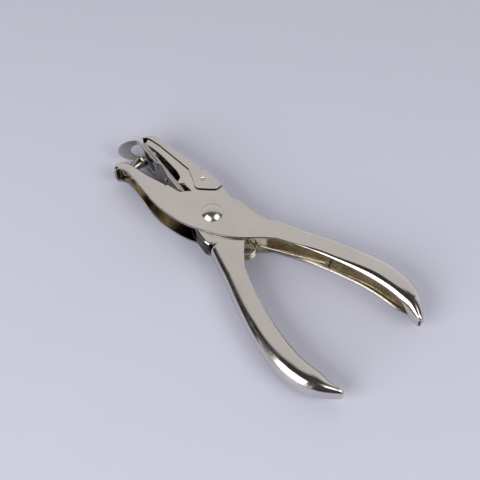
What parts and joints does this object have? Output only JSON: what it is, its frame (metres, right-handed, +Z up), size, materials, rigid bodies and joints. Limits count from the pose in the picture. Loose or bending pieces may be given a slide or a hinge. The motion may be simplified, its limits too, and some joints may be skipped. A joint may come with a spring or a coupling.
{
  "type": "hole punch",
  "caption": "Hand-held plier hole punch with crossing pressed-sheet levers, a round punch and die, a slotted stripper with a flared lip, and a torsion return spring.",
  "frame": {"origin": "on the pivot axis, at the flat end of the lower rivet head, the lowest face of the tool as it lies", "axes": "+X towards the handle ends, +Y towards the handle of the punch lever, +Z up through the thickness of the tool along the pivot"},
  "size_m": [0.1487, 0.0675, 0.0155],
  "materials": {
    "lever_plate": "nickel plated sheet, satin with a worn sheen",
    "inner_lever_plate": "nickel plated sheet, satin with a worn sheen",
    "punch_steel": "turned steel with a ground cutting end",
    "washer_steel": "plain steel",
    "rivet_steel": "plated, polished dome",
    "sleeve_steel": "plain steel",
    "die_plate_steel": "plain steel sheet",
    "die_ring_steel": "hardened steel",
    "stripper_steel": "plated spring sheet",
    "stripper_rivet_steel": "plated steel",
    "cover_plate": "nickel plated sheet, satin",
    "spring_wire": "dark drawn spring wire"
  },
  "bodies": {
    "punch_side": {"punch_lever": "lever_plate", "punch_pin": "punch_steel", "punch_washer": "washer_steel", "pivot_rivet": "rivet_steel", "pivot_sleeve": "sleeve_steel", "return_spring": "spring_wire"},
    "die_side": {"die_lever": "inner_lever_plate", "die_plate": "die_plate_steel", "die_ring": "die_ring_steel", "stripper_plate": "stripper_steel", "stripper_rivets": "stripper_rivet_steel"},
    "cover": {"chip_cover": "cover_plate"}
  },
  "joints": [
    {"name": "handle_squeeze", "type": "hinge", "parent": "punch_side", "child": "die_side", "pos_m": [0, 0, 0], "axis": [0, 0, 1], "range_deg": [0, 5.5], "stiffness_Nm_per_rad": 0.18, "springref_deg": -57.3, "deforming": ["return_spring"]},
    {"name": "cover_hinge", "type": "hinge", "parent": "die_side", "child": "cover", "pos_m": [-0.015, 0.0091, 0], "axis": [0, 0, -1], "range_deg": [0, 15]}
  ]
}
